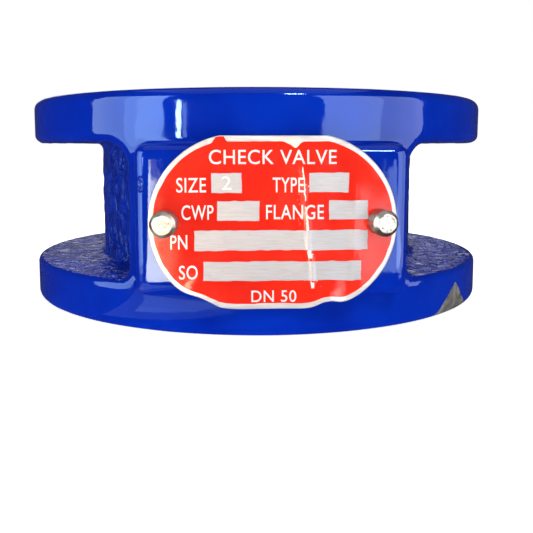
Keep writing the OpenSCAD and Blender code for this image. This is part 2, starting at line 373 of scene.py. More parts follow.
def build_casting(material):
    points, quads = surface_net(casting_field, casting_lines(), on_cylinder, wrap=True)
    rough = rough_share(points)
    machined = machined_share(points)
    points += outward(casting_field, points) * paint_relief(points, rough, machined)[:, None]
    serrate(points)
    make_piece("valve_casting", points, quads, material, ["body"], rough=rough, machined=machined)


def bridge_field(x, y, z):
    """The bar across the port that carries the middle of the seat."""
    bar = rounded_box([np.abs(x) - BRIDGE_HALF, slab(z, BRIDGE_Z0, LEDGE_Z)], 0.8)
    return np.maximum(bar, np.hypot(x, y) - PORT_R - 0.6)


def build_bridge(material):
    low = [-BRIDGE_HALF, -PORT_R - 0.6, BRIDGE_Z0]
    high = [BRIDGE_HALF, PORT_R + 0.6, LEDGE_Z]
    points, quads = block_net(bridge_field, low, high, 0.5)
    none = np.zeros(len(points))
    make_piece("port_bridge", points, quads, material, rough=none, machined=none + 1)


# ---- seat and plates


def seat_field(x, y, z):
    """A flat rubber ring and cross bar, with a raised bead where the plates close."""
    r = np.hypot(x, y)
    flat_top = SEAT_HIGH[2] - 0.3
    bead_z = SEAT_HIGH[2] - 0.9
    flat_ring = rounded_box([slab(r, 22.5, SEAT_R), slab(z, LEDGE_Z, flat_top)], 0.35)
    flat_bar = rounded_box([np.abs(x) - BRIDGE_HALF, slab(z, LEDGE_Z, flat_top)], 0.35)
    flat = round_join(flat_ring, np.maximum(flat_bar, r - 25), 0.5)
    ring_bead = np.hypot(r - 25.6, z - bead_z) - 0.9
    bar_bead = np.maximum(np.hypot(np.abs(x) - 2.4, z - bead_z) - 0.9, r - 25.6)
    return round_join(flat, np.minimum(ring_bead, bar_bead), 0.3)


def build_seat(material):
    points, quads = block_net(seat_field, SEAT_LOW, SEAT_HIGH, 0.45)
    make_piece("rubber_seat", points, quads, material, ["seat_ring"])


PLATE_Z0 = DISC_LOW[2]
PLATE_T = 3.2
PLATE_TOP = PLATE_Z0 + PLATE_T
PLATE_R = DISC_HIGH[1]
PLATE_GAP = 1.2
LUG_R = DISC_HIGH[0]
LUG_FOOT = 9.0
OUTER_LUG = (-28.0, -20.5)
INNER_LUG = (11.0, 19.0)
BOSS_X = -11.8
BOSS_Y = 15.5
BOSS_R = 3.0
BOSS_TOP = 19.3


def lug_field(x, y, z, reach):
    """A hinge lug: an eye on a foot that runs out onto the plate."""
    eye = np.hypot(x, z - HINGE_Z) - LUG_R
    rise = HINGE_Z - PLATE_TOP
    length = hypot(LUG_FOOT, rise)
    tangent = pi + atan(rise / LUG_FOOT) - acos(LUG_R / length)
    slope = x * cos(tangent) + (z - HINGE_Z) * sin(tangent) - LUG_R
    foot = np.maximum.reduce([slope, x + PLATE_GAP / 2, PLATE_Z0 + 1 - z, z - HINGE_Z])
    return round_cut(np.minimum(eye, foot), slab(y, *reach), 0.5)


def disc_field(x, y, z):
    """The left plate: half a disc with two hinge lugs and two stop bosses."""
    r = np.hypot(x, y)
    outline = round_cut(r - PLATE_R, x + PLATE_GAP / 2, 0.4)
    plate = round_cut(outline, slab(z, PLATE_Z0, PLATE_TOP), 0.45)
    lugs = np.minimum(lug_field(x, y, z, OUTER_LUG), lug_field(x, y, z, INNER_LUG))
    post = np.hypot(x - BOSS_X, np.abs(y) - BOSS_Y) - BOSS_R
    boss = round_cut(post, slab(z, PLATE_Z0 + 1, BOSS_TOP), 0.6)
    solid = round_join(round_join(plate, lugs, 0.7), boss, 0.9)
    solid = np.maximum(solid, r - PLATE_R)
    return round_cut(solid, PIN_R + 0.1 - np.hypot(x, z - HINGE_Z), 0.3)


def build_discs(material):
    """The right plate is the left one turned half round."""
    points, quads = block_net(disc_field, DISC_LOW, DISC_HIGH, 0.42)
    bored = np.hypot(points[:, 0], points[:, 2] - HINGE_Z) < PIN_R + 0.3
    cast = smoothstep(PLATE_Z0 + 0.6, PLATE_Z0 + 1.4, points[:, 2]) * ~bored
    grain = 0.5 * value_noise(points, 2.4, 21) + 0.5 * value_noise(points, 1.2, 22)
    points += outward(disc_field, points) * (cast * (0.05 * grain - 0.05))[:, None]
    for name, turn in (("left", 1), ("right", -1)):
        make_piece(name + "_plate_casting", points * [turn, turn, 1], quads, material, [name + "_disc"],
                   body=name + "_plate", sharp=45, cast=cast)


# ---- turned parts


def corner_arc(here, back, ahead, r, steps):
    """The arc that rounds a corner between two ways."""
    half = acos(np.clip(back @ ahead, -1, 1)) / 2
    middle = here + unit(back + ahead) * r / sin(half)
    a = here + back * r / tan(half) - middle
    b = here + ahead * r / tan(half) - middle
    spread = acos(np.clip(a @ b / r ** 2, -1, 1))
    shares = np.linspace(0, 1, steps + 1)[:, None]
    return middle + (np.sin((1 - shares) * spread) * a + np.sin(shares * spread) * b) / sin(spread)


def fillet_corners(corners, radius=0.1, steps=5):
    """A closed outline with its corners rounded. A corner may carry its own radius."""
    outline = []
    for i, corner in enumerate(corners):
        here = np.array(corner[:2], float)
        back = np.array(corners[i - 1][:2], float) - here
        ahead = np.array(corners[(i + 1) % len(corners)][:2], float) - here
        r = corner[2] if len(corner) > 2 else radius
        if r == 0:
            outline.append(here)
        else:
            outline += list(corner_arc(here, unit(back), unit(ahead), r, steps))
    return np.array(outline)


def ring_quads(rows, sides, closed=False):
    """Quads between neighbouring rings of points, and from the last to the first if closed."""
    ring = np.arange(rows * sides).reshape(rows, sides)[:, :, None]
    ahead = np.roll(ring, -1, 0)
    quads = np.concatenate([ring, ahead, np.roll(ahead, -1, 1), np.roll(ring, -1, 1)], 2)
    return list((quads if closed else quads[:-1]).reshape(-1, 4))


def turn_outline(outline, segments, closed):
    """Turns an outline of radius and length about the Y axis. An open one starts and ends on the axis."""
    ring = np.arange(segments) * 2 * pi / segments
    body = outline if closed else outline[1:-1]
    points = np.concatenate([
        np.stack([r * np.cos(ring), np.full(segments, y), r * np.sin(ring)], 1) for r, y in body
    ])
    faces = ring_quads(len(body), segments, closed)
    if not closed:
        first, last = len(points), len(points) + 1
        top = first - segments
        points = np.concatenate([points, [[0, outline[0][1], 0], [0, outline[-1][1], 0]]])
        for k in range(segments):
            n = (k + 1) % segments
            faces += [[first, k, n], [last, top + n, top + k]]
    return points, faces


def build_pin(name, low, high, material):
    """A ground pin with chamfered ends and a shallow centre hole in each."""
    length = high[1] - low[1]
    half_profile = [(0, 0.9, 0), (0.9, 0, 0.15), (PIN_R - 0.5, 0, 0.12), (PIN_R, 0.5, 0.12)]
    corners = half_profile + [(r, length - y, edge) for r, y, edge in half_profile[::-1]]
    points, faces = turn_outline(fillet_corners(corners), 48, closed=False)
    points += [0, low[1], (low[2] + high[2]) / 2]
    make_piece(name + "_turned", points, faces, material, [name], sharp=30)


def build_ring(name, material, inner, edge):
    """A plain ring about the pin: a washer, a spacer or a seal."""
    low, high = node_box(name)
    outer = (high[2] - low[2]) / 2
    corners = [(inner, low[1]), (outer, low[1]), (outer, high[1]), (inner, high[1])]
    points, faces = turn_outline(fillet_corners(corners, edge, 4), 64, closed=True)
    points += [0, 0, (low[2] + high[2]) / 2]
    make_piece(name + "_turned", points, faces, material, [name], sharp=40)


def plug_field(x, y, z):
    """A plug with a hexagon socket, about the Y axis."""
    r = np.hypot(x, z)
    head = round_cut(r - PLUG_HIGH[0], slab(y, SEAL_HIGH[1], PLUG_HIGH[1]), 0.5)
    shank = np.maximum(r - 4.0, slab(y, PLUG_LOW[1], SEAL_HIGH[1] + 0.5))
    across = [np.abs(x * cos(a) + z * sin(a)) for a in np.radians([0, 60, 120])]
    socket = np.maximum(np.maximum.reduce(across) - 2.0, PLUG_HIGH[1] - 2.0 - y)
    return round_cut(np.minimum(head, shank), -socket, 0.2)


def build_plugs(material):
    half = PLUG_HIGH[0]
    points, quads = block_net(plug_field, [-half, PLUG_LOW[1], -half], [half, PLUG_HIGH[1], half], 0.22)
    for name, centre_z in (("hinge_pin_plug", HINGE_Z), ("stop_pin_plug", STOP_Z)):
        make_piece(name + "_turned", points + [0, 0, centre_z], quads, material, [name], sharp=45)


# ---- springs

WIRE_R = 0.6
COIL_R = PIN_R + 0.55 + WIRE_R
SPRING_TURNS = 5
STOP_REST = 0.05
PLATE_LEG_ANGLE = 120.0
PLATE_LEG_TAIL = 5.0


def spring_path():
    """The wire's centre line about the hinge axis: stop leg, coil, sloping leg and flat tail."""
    rise = STOP_Z - HINGE_Z
    start = pi - asin((COIL_R - PIN_R - WIRE_R - STOP_REST) / rise)
    finish = radians(PLATE_LEG_ANGLE + 360 * SPRING_TURNS)
    y0, y1 = SPRING_LOW[1] + WIRE_R, SPRING_HIGH[1] - WIRE_R
    t = np.linspace(0, 1, 36 * SPRING_TURNS)
    angle = start + (finish - start) * t
    coil = np.stack([COIL_R * np.cos(angle), y0 + (y1 - y0) * t, COIL_R * np.sin(angle)], 1)
    first_way = np.array([-sin(start), 0, cos(start)])
    last_way = np.array([-sin(finish), 0, cos(finish)])
    stop_leg = [coil[0] - first_way * (rise + 3) * (1 - k / 12) for k in range(12)]
    drop = coil[-1][2] - (PLATE_TOP - HINGE_Z) - WIRE_R - STOP_REST
    slope_end = coil[-1] + last_way * drop / -last_way[2]
    slope = [coil[-1] + (slope_end - coil[-1]) * k / 5 for k in range(1, 5)]
    back = unit(coil[-1] - slope_end)
    tail = np.array([-1.0, 0, 0])
    bend = [slope_end + 0.8 * ((1 - s) ** 2 * back + s ** 2 * tail) for s in np.linspace(0, 1, 7)]
    return np.array(stop_leg + list(coil) + slope + bend + [slope_end + PLATE_LEG_TAIL * tail])


def sweep_wire(path, radius, sides):
    """A round wire along a path that never runs along Y, with slightly rounded ends."""
    ahead = unit(np.gradient(path, axis=0))
    across = unit(np.cross(ahead, [0, 1, 0]))
    aside = np.cross(ahead, across)
    rows = [0, *range(len(path)), len(path) - 1]
    centres, across, aside = path[rows], across[rows], aside[rows]
    centres[1] += ahead[0] * 0.12 * radius
    centres[-2] -= ahead[-1] * 0.12 * radius
    radii = np.full(len(rows), radius)
    radii[[0, -1]] = radius * 0.85
    ring = np.arange(sides) * 2 * pi / sides
    c, s = np.cos(ring)[None, :, None], np.sin(ring)[None, :, None]
    offset = c * across[:, None] + s * aside[:, None]
    points = (centres[:, None] + offset * radii[:, None, None]).reshape(-1, 3)
    faces = [quad[[0, 3, 2, 1]] for quad in ring_quads(len(rows), sides)]
    start_cap = range(sides - 1, -1, -1)
    end_cap = range(len(points) - sides, len(points))
    return points, faces + [start_cap, end_cap]


def build_springs(material):
    """The coil twists between the fixed leg, on the stop pin, and the leg that lies on its plate."""
    points, faces = sweep_wire(spring_path(), WIRE_R, 14)
    for name, turn in (("left", 1), ("right", -1)):
        placed = (points + [0, 0, HINGE_Z]) * [turn, turn, 1]
        piece = make_piece(name + "_spring_wire", placed, faces, material, [name + "_spring"], None, sharp=50)
        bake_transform(piece)


# ---- nameplate

SHEET_Z = (SHEET_LOW[2] + SHEET_HIGH[2]) / 2
SHEET_HALF_H = (SHEET_HIGH[2] - SHEET_LOW[2]) / 2
SHEET_END_R = 14.9
SHEET_FRONT = SHEET_LOW[1]
BORDER = 0.95
END_BORDER = 0.75
# How far the folded sheet stands off, at places along X
FOLD_X = [-22.5, -19.0, -9.0, 0.0, 5.8, 12.0, 13.6, 18.0, 22.5]
FOLD_RISE = [0.46, 0.38, 0.17, 0.04, 0.48, 0.25, 0.34, 0.12, 0.05]
CREASE_X = 5.6
FOLD_LEAN = 0.09
# How tall the sharp crease is, at heights from the middle of the nameplate
CREASE_Z = [-11.6, -10.4, -4.0, 0.5, 9.0, 10.0]
CREASE_RISE = [0.0, 0.16, 0.16, 0.09, 0.06, 0.0]


def sheet_noise(x, z, size, seed):
    return value_noise(np.stack([x, 0 * x, z], 1), size, seed)


def hump(x, middle, width):
    return np.exp(-((x - middle) / width) ** 2)


def crease_rise(x, v):
    """The sharp crease in the sheet, and a softer one to the right of it."""
    wander = 0.22 * sheet_noise(0 * v, v, 3.5, 33)
    sharp = np.interp(v, CREASE_Z, CREASE_RISE) * hump(x + FOLD_LEAN * v + wander, CREASE_X, 0.36)
    return sharp + 0.05 * hump(x - 0.06 * v, 13.6, 0.5)


def sheet_rise(x, z):
    """How far the dented sheet stands off its flat place, towards the viewer."""
    along = x + FOLD_LEAN * (z - SHEET_Z)
    fold = sum(np.interp(along + d, FOLD_X, FOLD_RISE) for d in np.linspace(-0.45, 0.45, 7)) / 7
    wave = 0.07 * sheet_noise(x, z, 8.0, 31) + 0.025 * sheet_noise(x, z, 3.0, 32)
    tilt = 0.022 * (SHEET_HIGH[2] - z)
    lip = 0.55 * hump(x, -11.5, 3.0) + 0.45 * hump(x, 9.4, 2.2)
    near_low_edge = smoothstep(6.4, 14.6, SHEET_Z - z)
    return np.maximum(fold + wave + tilt + lip * near_low_edge, 0) + crease_rise(x, z - SHEET_Z) + 0.03


def sheet_lift(x, z):
    """How far the dented lower edge is pushed up."""
    pushed = 1.15 * hump(x, -12.3, 3.2) + 1.25 * hump(x, 9.2, 2.2)
    return pushed * smoothstep(8.7, 14.6, SHEET_Z - z)


def sheet_outline(inset, rows):
    """Heights of rows across the nameplate, and the half-width of each."""
    end_r = SHEET_END_R - inset
    limit = asin((SHEET_HALF_H - inset) / end_r)
    v = end_r * np.sin(np.linspace(-limit, limit, rows))
    return SHEET_Z + v, SHEET_HIGH[0] - SHEET_END_R + np.sqrt(end_r ** 2 - v ** 2)


def slab_mesh(rows_z, left, right, front, back, edge, shares):
    """A thin closed slab between two uneven sides, with its front edge rounded off.

    shares say how far across each line of points lies, from 0 at the left to 1 at the right.
    """
    rows, columns = len(rows_z), len(shares)
    size = rows * columns
    mid = (rows_z[0] + rows_z[-1]) / 2
    layers = []
    for y, shrink in ((back, 0), (front + edge, 0), (front, edge)):
        z = mid + (rows_z - mid) * (1 - shrink / abs(rows_z[-1] - mid))
        x = left[:, None] + shrink + (right - left - 2 * shrink)[:, None] * shares[None]
        layers.append(np.stack([x, 0 * x + y, 0 * x + z[:, None]], 2).reshape(-1, 3))
    grid = np.arange(size).reshape(rows, columns)
    quads = np.stack([grid[:-1, :-1], grid[:-1, 1:], grid[1:, 1:], grid[1:, :-1]], 2).reshape(-1, 4)
    border = np.concatenate([grid[0], grid[1:, -1], grid[-1, -2::-1], grid[-2:0:-1, 0]])
    ahead = np.roll(border, -1)
    wall = np.stack([border, ahead, ahead + size, border + size], 1)
    faces = np.concatenate([quads + 2 * size, quads[:, ::-1], wall, wall + size])
    used, faces = np.unique(faces, return_inverse=True)
    return np.concatenate(layers)[used], faces.reshape(-1, 4)


def join_meshes(parts):
    """One list of points and one of faces from several."""
    all_points, all_faces, count = [], [], 0
    for points, faces in parts:
        all_points.append(points)
        all_faces += [[i + count for i in f] for f in faces]
        count += len(points)
    return np.concatenate(all_points), all_faces


def sheet_piece(name, points, faces, material, stands_for=(), sharp=35):
    """A piece of the flat nameplate, moved to where the dents put it."""
    x, y, z = points.T
    bent = np.stack([x, y - sheet_rise(x, z), z + sheet_lift(x, z)], 1)
    make_piece(name, bent, faces, material, stands_for, slot="nameplate_enamel", sharp=sharp)


# Lines across the nameplate, closer together about the creases
SHEET_SHARES = np.interp(np.linspace(0, 1, 190), [0, 0.25, 0.85, 1], [0, 0.54, 0.88, 1])


def build_sheet(metal):
    z, half = sheet_outline(0, 72)
    points, faces = slab_mesh(z, -half, half, SHEET_FRONT, SHEET_HIGH[1], 0.16, SHEET_SHARES)
    sheet_piece("nameplate_sheet", points, faces, metal, ["nameplate"])


def ragged(x, z, seed):
    """A small unevenness along an edge."""
    return 0.07 * sheet_noise(x, z, 1.1, seed) + 0.05 * sheet_noise(x, z, 4.0, seed + 1)


def build_enamel(red):
    """The red field, with a nick at its upper edge and a place where it runs over the border."""
    z, half = sheet_outline(BORDER, 72)
    half += BORDER - END_BORDER
    front = SHEET_FRONT - 0.06
    left, right = -half + ragged(-half, z, 41), half + ragged(half, z, 43)
    points, faces = slab_mesh(z, left, right, front, front + 0.25, 0.04, SHEET_SHARES)
    x, v = points[:, 0], points[:, 2] - SHEET_Z
    at_edge = smoothstep(0.9, 1.0, np.abs(v) / (SHEET_HALF_H - BORDER))
    over = 0.80 * smoothstep(-10.3, -9.9, x) * smoothstep(-7.9, -8.3, x)
    nick = 1.05 * hump(x, 3.6, 0.8) + 0.3 * hump(x, 2.4, 0.6)
    points[:, 2] += at_edge * (ragged(x, v, 45) + (v > 0) * (over - nick))
    sheet_piece("nameplate_red", points, faces, red)


# Left, right, top and bottom of each bare field, heights from the middle of the nameplate
FIELDS = [
    (-10.45, -5.4, 8.4, 5.1), (5.9, 12.6, 8.4, 5.15), (-9.45, -2.5, 3.7, 0.4), (9.35, 15.9, 3.8, 0.55),
    (-13.3, 15.9, -1.2, -4.55), (-11.9, 14.8, -6.45, -9.75),
]


def build_fields(metal):
    """The bare metal fields, joined into one piece."""
    parts = []
    front = SHEET_FRONT - 0.1
    for seed, (left, right, top, bottom) in enumerate(FIELDS):
        v = np.linspace(bottom, top, 12)
        lo, hi = left + ragged(0 * v, v, 50 + seed), right + ragged(0 * v, v, 60 + seed)
        shares = np.linspace(0, 1, int((right - left) / 0.16))
        points, faces = slab_mesh(SHEET_Z + v, lo, hi, front, front + 0.2, 0.03, shares)
        share = (points[:, 2] - SHEET_Z - bottom) / (top - bottom)
        points[:, 2] += (share > 0.98) * ragged(points[:, 0], 0 * share, 70 + seed)
        points[:, 2] += (share < 0.02) * ragged(points[:, 0], 0 * share, 80 + seed)
        parts.append((points, faces))
    sheet_piece("nameplate_fields", *join_meshes(parts), metal)


# Each word's left, right, middle height from the middle of the nameplate, and height of its capitals
LABELS = [
    ("CHECK VALVE", -10.8, 10.5, 11.05, 2.4),
    ("SIZE", -16.2, -11.3, 6.4, 2.45),
    ("TYPE", -0.2, 5.0, 6.4, 2.45),
    ("CWP", -15.4, -10.1, 1.85, 2.45),
    ("FLANGE", -1.3, 8.4, 1.85, 2.45),
    ("PN", -17.3, -14.5, -3.1, 2.35),
    ("SO", -15.9, -12.8, -8.2, 2.35),
    ("DN 50", -3.8, 3.8, -12.4, 2.0),
]
STAMPED = [("2", -8.75, -7.1, 6.75, 2.25)]


def flat_word(text):
    """A word in the built-in font as points and faces, with its height along Y."""
    curve = bpy.data.curves.new("word", "FONT")
    curve.body = text
    curve.space_character = 1.06
    curve.extrude = 0.02
    curve.offset = 0.004
    curve.resolution_u = 5
    obj = add_to_scene("word", curve)
    graph = bpy.context.evaluated_depsgraph_get()
    mesh = bpy.data.meshes.new_from_object(obj.evaluated_get(graph))
    bpy.data.objects.remove(obj)
    return np.array([v.co[:] for v in mesh.vertices]), [list(p.vertices) for p in mesh.polygons]


def lettering(words, thickness):
    """Flat words that fill the given boxes on the nameplate."""
    parts = []
    for text, left, right, middle, height in words:
        points, faces = flat_word(text)
        low, high = points.min(0), points.max(0)
        share = (points - low) / (high - low)
        x = left + share[:, 0] * (right - left)
        y = SHEET_FRONT - 0.02 - share[:, 2] * thickness
        z = SHEET_Z + middle + (share[:, 1] - 0.5) * height
        parts.append((np.stack([x, y, z], 1), faces))
    return join_meshes(parts)


# ---- rivets

RIVET_LEAN = radians(7)
RIVET_X = 17.9
RIVET_Z = (RIVET_LOW[2] + RIVET_HIGH[2]) / 2
HEAD_R = (RIVET_HIGH[2] - RIVET_LOW[2]) / 2
HEAD_NEAR = 0.92
HEAD_FAR = 4.7


def rivet_mesh(seed):
    """A hammered drive rivet that points along -Y, with its seat at the origin."""
    corners = [
        (0, -HEAD_FAR + 0.04, 0), (HEAD_R - 0.62, -HEAD_FAR, 0.35), (HEAD_R, -HEAD_FAR + 0.75, 0.5),
        (HEAD_R, -HEAD_NEAR, 0.25), (1.5, -HEAD_NEAR, 0.12), (1.5, 6.2, 0.2), (0, 6.4, 0),
    ]
    outline = fillet_corners(corners, 0.3, 6)
    inner = [(r, outline[0][1]) for r in np.linspace(0.25, outline[1][0] - 0.2, 5)]
    outline = np.concatenate([outline[:1], inner, outline[1:]])
    points, faces = turn_outline(outline, 56, closed=False)
    spots = points + [seed * 17.0, 0, 0]
    face_share = 1 - smoothstep(-HEAD_FAR + 0.1, -HEAD_FAR + 0.9, points[:, 1])
    dents = 0.09 * value_noise(spots, 1.1, seed) + 0.05 * value_noise(spots, 0.55, seed + 1)
    on_head = points[:, 1] < -HEAD_NEAR
    points[:, 1] += face_share * (dents + 0.1)
    squeeze = 1 - on_head * 0.02 * (1 + value_noise(spots, 1.6, seed + 2))
    points[:, [0, 2]] *= squeeze[:, None]
    return points, faces


def build_rivets(material):
    """Both rivets lean outwards."""
    for name, side, seed in (("left_rivet", -1, 101), ("right_rivet", 1, 131)):
        points, faces = rivet_mesh(seed)
        c, s = cos(RIVET_LEAN), sin(RIVET_LEAN) * side
        x, y, z = points.T
        leaning = np.stack([x * c - y * s, x * s + y * c, z], 1)
        leaning += [side * RIVET_X, PAD_Y, RIVET_Z]
        make_piece(name + "_peened", leaning, faces, material, [name], sharp=50)


# ---- materials


class Recipe:
    """A material and short ways to add nodes to it. Lengths are in millimetres on the object."""

    def __init__(self, name, **sockets):
        self.material = bpy.data.materials.new(name)
        self.material.use_nodes = True
        self.tree = self.material.node_tree
        self.shader = self.tree.nodes["Principled BSDF"]
        self.place = self.add("ShaderNodeTexCoord").outputs["Object"]
        for socket, value in sockets.items():
            self.set(socket, value)

    def add(self, kind, **settings):
        node = self.tree.nodes.new(kind)
        for name, value in settings.items():
            setattr(node, name, value)
        return node

    def put(self, socket, value):
        if isinstance(value, bpy.types.NodeSocket):
            self.tree.links.new(value, socket)
        elif isinstance(value, tuple) and socket.type == "RGBA":
            socket.default_value = (*value, 1)
        else:
            socket.default_value = value

    def set(self, name, value):
        self.put(self.shader.inputs[name], value)

    def attribute(self, name):
        return self.add("ShaderNodeAttribute", attribute_name=name).outputs["Fac"]

    def noise(self, size, detail=3.0, roughness=0.5, distortion=0.0, stretch=(1, 1, 1)):
        mapping = self.add("ShaderNodeMapping")
        self.put(mapping.inputs["Vector"], self.place)
        mapping.inputs["Scale"].default_value = [1 / s for s in stretch]
        node = self.add("ShaderNodeTexNoise")
        self.put(node.inputs["Vector"], mapping.outputs["Vector"])
        node.inputs["Scale"].default_value = 1 / (size * MM)
        node.inputs["Detail"].default_value = detail
        node.inputs["Roughness"].default_value = roughness
        node.inputs["Distortion"].default_value = distortion
        return node.outputs["Fac"]

    def patches(self, size, detail, roughness=0.5, low=0.3, high=0.7):
        """Noise with its contrast raised, from 0 to 1."""
        return self.spread(self.noise(size, detail, roughness), low, high)

    def cells(self, size):
        node = self.add("ShaderNodeTexVoronoi")
        self.put(node.inputs["Vector"], self.place)
        node.inputs["Scale"].default_value = 1 / (size * MM)
        return node.outputs["Distance"]

    def axis(self, name):
        node = self.add("ShaderNodeSeparateXYZ")
        self.put(node.inputs[0], self.place)
        return self.times(node.outputs[name], 1 / MM)

    def less(self, a, b):
        return self.math("SUBTRACT", a, b)

    def plus(self, a, b):
        return self.math("ADD", a, b)

    def math(self, operation, a, b=0.0, c=0.0):
        node = self.add("ShaderNodeMath", operation=operation)
        for socket, value in zip(node.inputs, (a, b, c)):
            self.put(socket, value)
        return node.outputs[0]

    def times(self, a, b):
        return self.math("MULTIPLY", a, b)

    def swing(self, size, detail, scale):
        """Noise about 0, that goes up and down by up to half of scale."""
        return self.times(self.less(self.noise(size, detail), 0.5), scale)

    def spread(self, value, low, high, to_low=0.0, to_high=1.0):
        """A smooth step of value from low to high."""
        node = self.add("ShaderNodeMapRange", interpolation_type="SMOOTHSTEP")
        for socket, number in zip(node.inputs, (value, low, high, to_low, to_high)):
            self.put(socket, number)
        return node.outputs["Result"]

    def between(self, share, a, b, kind="FLOAT", sockets=(0, 2, 3), output=0):
        """A number between a and b."""
        node = self.add("ShaderNodeMix", data_type=kind)
        for index, value in zip(sockets, (share, a, b)):
            self.put(node.inputs[index], value)
        return node.outputs[output]

    def mix(self, share, a, b):
        """A colour between a and b."""
        return self.between(share, a, b, "RGBA", (0, 6, 7), 2)

    def bump(self, height, distance, after=None):
        """A bump as tall as distance, in millimetres, where height goes from 0 to 1."""
        node = self.add("ShaderNodeBump")
        node.inputs["Distance"].default_value = distance * MM
        self.put(node.inputs["Height"], height)
        if after is not None:
            self.put(node.inputs["Normal"], after)
        return node.outputs["Normal"]

    def surface(self, colour, roughness, normal):
        """Sets what changes over the surface, and gives the finished material."""
        self.set("Base Color", colour)
        self.set("Roughness", roughness)
        self.set("Normal", normal)
        return self.material


# The chip in the lower rim's paint is a triangle open at the bottom. Each side has its outward way, along
# the rim and up, and its distance from the point on the rim's lower edge at the chip's angle
CHIP_ANGLE = radians(44)
CHIP_SIDES = [(-0.588, 0.809, 2.82), (0.707, 0.707, 7.0)]


def chip_mask(m):
    """1 in the chip, with ragged sides."""
    x, y, z = m.axis("X"), m.axis("Y"), m.axis("Z")
    c, s = cos(CHIP_ANGLE), sin(CHIP_ANGLE)
    along = m.math("MULTIPLY_ADD", x, c, m.times(y, s))
    out_way = m.math("MULTIPLY_ADD", x, s, m.times(y, -c))
    wobble = m.swing(1.3, 3, 0.9)
    mask = m.math("GREATER_THAN", out_way, 40.0)
    for go_along, go_up, reach in CHIP_SIDES:
        distance = m.math("MULTIPLY_ADD", along, go_along, m.math("MULTIPLY_ADD", z, go_up, wobble))
        mask = m.times(mask, m.math("LESS_THAN", distance, reach))
    return mask


def blemish_mask(m):
    """1 in a small upright oval on the left edge of the pad, where the paint is lumpy."""
    across = m.math("DIVIDE", m.plus(m.axis("X"), 22.3), 0.55)
    up = m.math("DIVIDE", m.less(m.axis("Z"), 26.6), 1.35)
    square = m.plus(m.times(across, across), m.times(up, up))
    return m.times(m.math("LESS_THAN", m.axis("Y"), -50.0), m.spread(square, 1.2, 0.7))


def blue_enamel():
    """Glossy blue enamel over cast iron, bare on the machined faces and in a chip."""
    m = Recipe("blue_enamel", IOR=1.46)
    rough, machined = m.attribute("rough"), m.attribute("machined")
    glaze = m.mix(m.patches(16, 4, 0.5, 0.35, 0.65), (0.0004, 0.015, 0.28), (0.0007, 0.023, 0.36))
    grains = m.noise(2.7, 3, 0.55, 1.2)
    cast = m.mix(m.spread(grains, 0.4, 0.62), (0.0004, 0.013, 0.235), (0.001, 0.026, 0.38))
    iron_tone = m.patches(2.2, 5, 0.6)
    iron = m.mix(iron_tone, (0.055, 0.052, 0.046), (0.17, 0.165, 0.15))
    faced = m.mix(m.patches(3.0, 4, 0.5, 0.35, 0.7), (0.30, 0.29, 0.27), (0.46, 0.45, 0.43))
    open_metal = m.spread(m.plus(machined, m.swing(2.0, 3, 1.1)), 0.42, 0.58)
    chip = m.times(chip_mask(m), m.less(1.0, open_metal))
    bare = m.math("MAXIMUM", chip, open_metal)
    m.set("Metallic", m.times(open_metal, 0.85))
    m.set("Specular Tint", m.mix(bare, (0.42, 0.66, 1.0), (1.0, 1.0, 1.0)))
    glaze_wet = m.spread(m.noise(6, 3), 0.3, 0.7, 0.035, 0.09)
    wet = m.between(rough, glaze_wet, m.spread(grains, 0.35, 0.65, 0.08, 0.2))
    peel = m.bump(m.noise(2.8, 2), 0.020)
    runs = m.bump(m.noise(7.0, 2, stretch=(1, 1, 2.4)), 0.10, peel)
    cast_bump = m.bump(m.times(rough, m.spread(grains, 0.3, 0.7)), 0.30, runs)
    blemished = m.bump(m.times(blemish_mask(m), m.noise(0.7, 2)), 0.5, cast_bump)
    chipped = m.bump(m.less(1.0, chip), 0.22, blemished)
    return m.surface(m.mix(chip, m.mix(open_metal, m.mix(rough, glaze, cast), faced), iron),
                     m.between(bare, wet, m.between(iron_tone, 0.38, 0.6)),
                     m.bump(m.times(bare, m.noise(0.5, 4)), 0.05, chipped))


def red_enamel():
    """Gloss red enamel that has chipped along the crease, with a painted highlight in cream along the crease
    as well.
    """
    m = Recipe("red_enamel", IOR=1.34)
    z = m.less(m.axis("Z"), SHEET_Z)
    red = m.mix(m.patches(9, 4), (0.62, 0.013, 0.005), (0.74, 0.021, 0.007))
    along = m.plus(m.math("MULTIPLY_ADD", z, FOLD_LEAN, m.axis("X")), m.swing(1.4, 4, 0.8))
    from_fold = m.math("ABSOLUTE", m.less(along, CREASE_X))
    half_width = m.spread(z, 1.5, -3.0, 0.12, 0.36)
    in_crease = m.spread(m.math("DIVIDE", from_fold, half_width), 1.0, 0.6)
    lengthwise = m.times(m.spread(z, -11.2, -10.8), m.spread(z, 9.6, 9.0))
    # Partly chipped enamel and partly a painted highlight: a cream line along the crease, thin above and wide
    # below
    crack_and_highlight = m.times(m.times(in_crease, lengthwise), m.patches(1.2, 4, 0.5, 0.36, 0.46))
    near_fold = m.times(m.spread(from_fold, 1.7, 0.4), lengthwise)
    specks = m.times(m.spread(m.cells(0.8), 0.16, 0.08), near_fold)
    ripple = m.bump(m.noise(4.0, 2), 0.03)
    return m.surface(m.mix(m.math("MAXIMUM", crack_and_highlight, specks), red, (0.85, 0.80, 0.70)),
                     m.spread(m.noise(3.0, 3), 0.3, 0.7, 0.10, 0.17),
                     m.bump(m.noise(0.7, 3), 0.006, ripple))


def brushed_sheet(name, dark, light, grain_size, metallic, roughness):
    """Pale brushed metal with its grain along X."""
    m = Recipe(name, IOR=1.45, Metallic=metallic)
    grain = m.spread(m.noise(grain_size, 4, 0.65, stretch=(30, 1, 1)), 0.3, 0.7)
    stain = m.patches(5, 4, 0.6, 0.62, 0.8)
    return m.surface(m.mix(stain, m.mix(grain, dark, light), tuple(0.8 * c for c in dark)),
                     m.between(grain, roughness, roughness + 0.16), m.bump(grain, 0.006))


